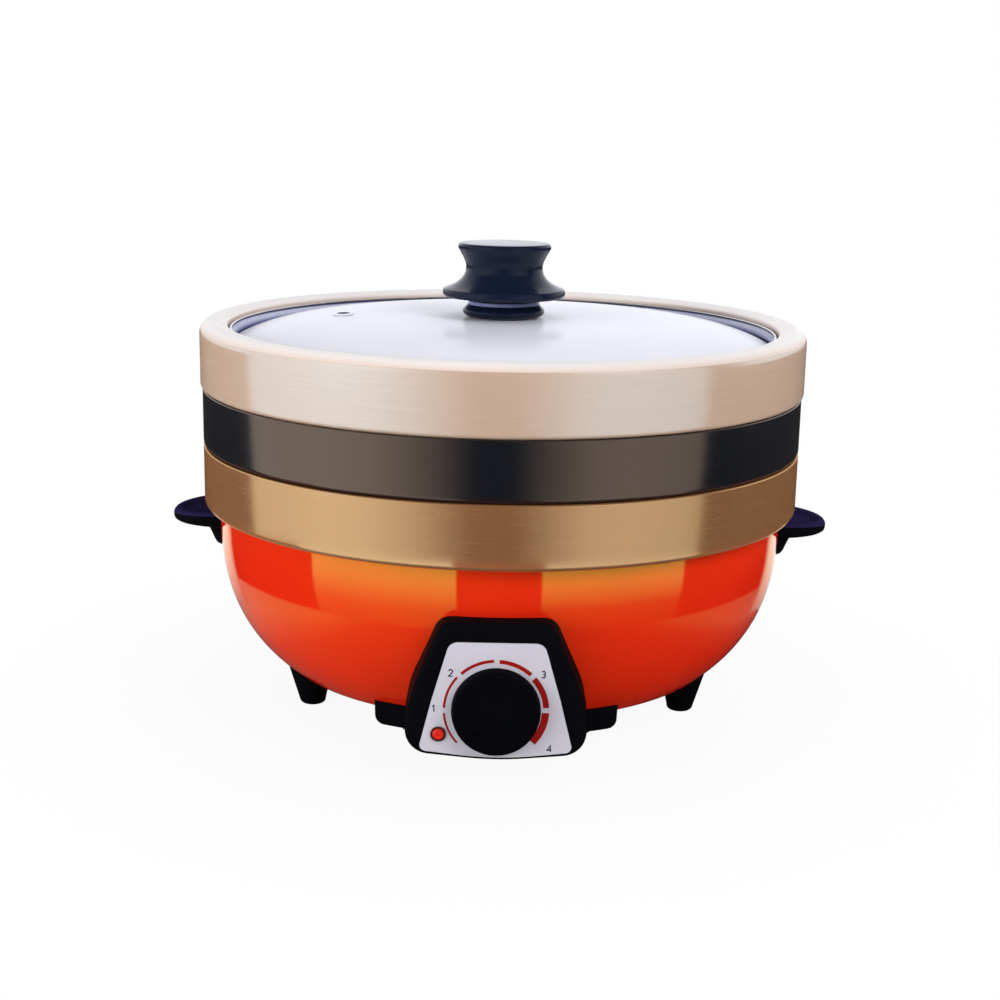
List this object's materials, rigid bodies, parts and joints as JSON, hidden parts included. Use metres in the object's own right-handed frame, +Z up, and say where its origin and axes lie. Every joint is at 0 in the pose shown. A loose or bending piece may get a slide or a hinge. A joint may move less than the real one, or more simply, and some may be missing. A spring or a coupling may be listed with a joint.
{
  "type": "electric curry cooker",
  "caption": "Round electric cooker with an orange bowl body, lift-out pan, stacked steamer rings, glass lid with a knob, ear handles and a front panel with a heat dial.",
  "frame": {"origin": "on the floor under the pot axis, at the middle of the part's box to within the claims' tolerance", "axes": "+Z up along the pot axis, -Y towards the user and the control panel, X from handle to handle"},
  "size_m": [0.334, 0.3079, 0.2278],
  "materials": {
    "shell_paint": "glossy orange-red enamel",
    "collar_bronze": "satin bronze lacquer",
    "ring_black": "glossy black lacquer",
    "ring_champagne": "satin champagne lacquer",
    "nonstick": "matt non-stick coating",
    "black_plastic": "glossy",
    "knob_plastic": "glossy",
    "dial_plastic": "satin",
    "plate_silver": "satin printed plate",
    "steel": "satin",
    "zinc": "zinc plated",
    "cast_aluminium": "as cast, faced",
    "element_sheath": "heat darkened",
    "brass": "plain",
    "lid_glass": "clear tempered",
    "lens_red": "clear red",
    "lamp_glass": "clear",
    "phenolic": "moulded",
    "fuse_body": "moulded",
    "insulation_brown": "silicone",
    "insulation_blue": "silicone",
    "insulation_green": "silicone",
    "insulation_grey": "silicone"
  },
  "bodies": {
    "base": {"body_shell": "shell_paint", "base_plate": "zinc", "base_screws": "zinc", "foot_front_left": "black_plastic", "foot_front_right": "black_plastic", "foot_rear_left": "black_plastic", "foot_rear_right": "black_plastic", "foot_screws": "zinc", "handle_left": "knob_plastic", "handle_right": "knob_plastic", "handle_screws": "zinc", "control_box": "black_plastic", "box_screws": "zinc", "control_bezel": "black_plastic", "face_plate": "plate_silver", "indicator_ring": "black_plastic", "indicator_lens": "lens_red", "indicator_lamp": "lamp_glass", "thermostat": "phenolic", "thermostat_nut": "brass", "thermostat_bracket": "steel", "bracket_screw": "zinc", "heating_plate": "cast_aluminium", "heating_element": "element_sheath", "plate_posts": "zinc", "post_screws": "zinc", "heat_shield": "steel", "thermal_fuse": "fuse_body", "fuse_clip": "steel", "inlet_block": "black_plastic", "inlet_pins": "brass", "earth_stud": "brass", "wire_live": "insulation_brown", "wire_load": "insulation_grey", "wire_neutral": "insulation_blue", "wire_earth": "insulation_green", "wire_lamp": "insulation_grey"},
    "dial": {"dial_knob": "dial_plastic", "thermostat_shaft": "steel"},
    "pan": {"pan": "nonstick", "pan_collar": "collar_bronze"},
    "lower_ring": {"lower_ring": "ring_black"},
    "lower_tray": {"lower_tray": "steel"},
    "top_ring": {"top_ring": "ring_champagne"},
    "top_tray": {"top_tray": "steel"},
    "lid": {"lid_glass": "lid_glass", "lid_rim": "steel", "lid_knob": "knob_plastic", "knob_skirt": "knob_plastic", "knob_washer": "steel", "knob_screw": "zinc", "vent_eyelet": "steel"}
  },
  "joints": [
    {"name": "dial_turn", "type": "hinge", "parent": "base", "child": "dial", "pos_m": [0, -0.149, 0.0373], "axis": [0, 1, 0], "range_deg": [0, 265]},
    {"name": "pan_lift", "type": "slide", "parent": "base", "child": "pan", "axis": [0, 0, 1], "range_m": [0, 0.1]},
    {"name": "lower_ring_lift", "type": "slide", "parent": "pan", "child": "lower_ring", "axis": [0, 0, 1], "range_m": [0, 0.06]},
    {"name": "lower_tray_lift", "type": "slide", "parent": "lower_ring", "child": "lower_tray", "axis": [0, 0, 1], "range_m": [0, 0.016]},
    {"name": "top_ring_lift", "type": "slide", "parent": "lower_ring", "child": "top_ring", "axis": [0, 0, 1], "range_m": [0, 0.06]},
    {"name": "top_tray_lift", "type": "slide", "parent": "top_ring", "child": "top_tray", "axis": [0, 0, 1], "range_m": [0, 0.014]},
    {"name": "lid_lift", "type": "slide", "parent": "top_ring", "child": "lid", "axis": [0, 0, 1], "range_m": [0, 0.06]}
  ]
}
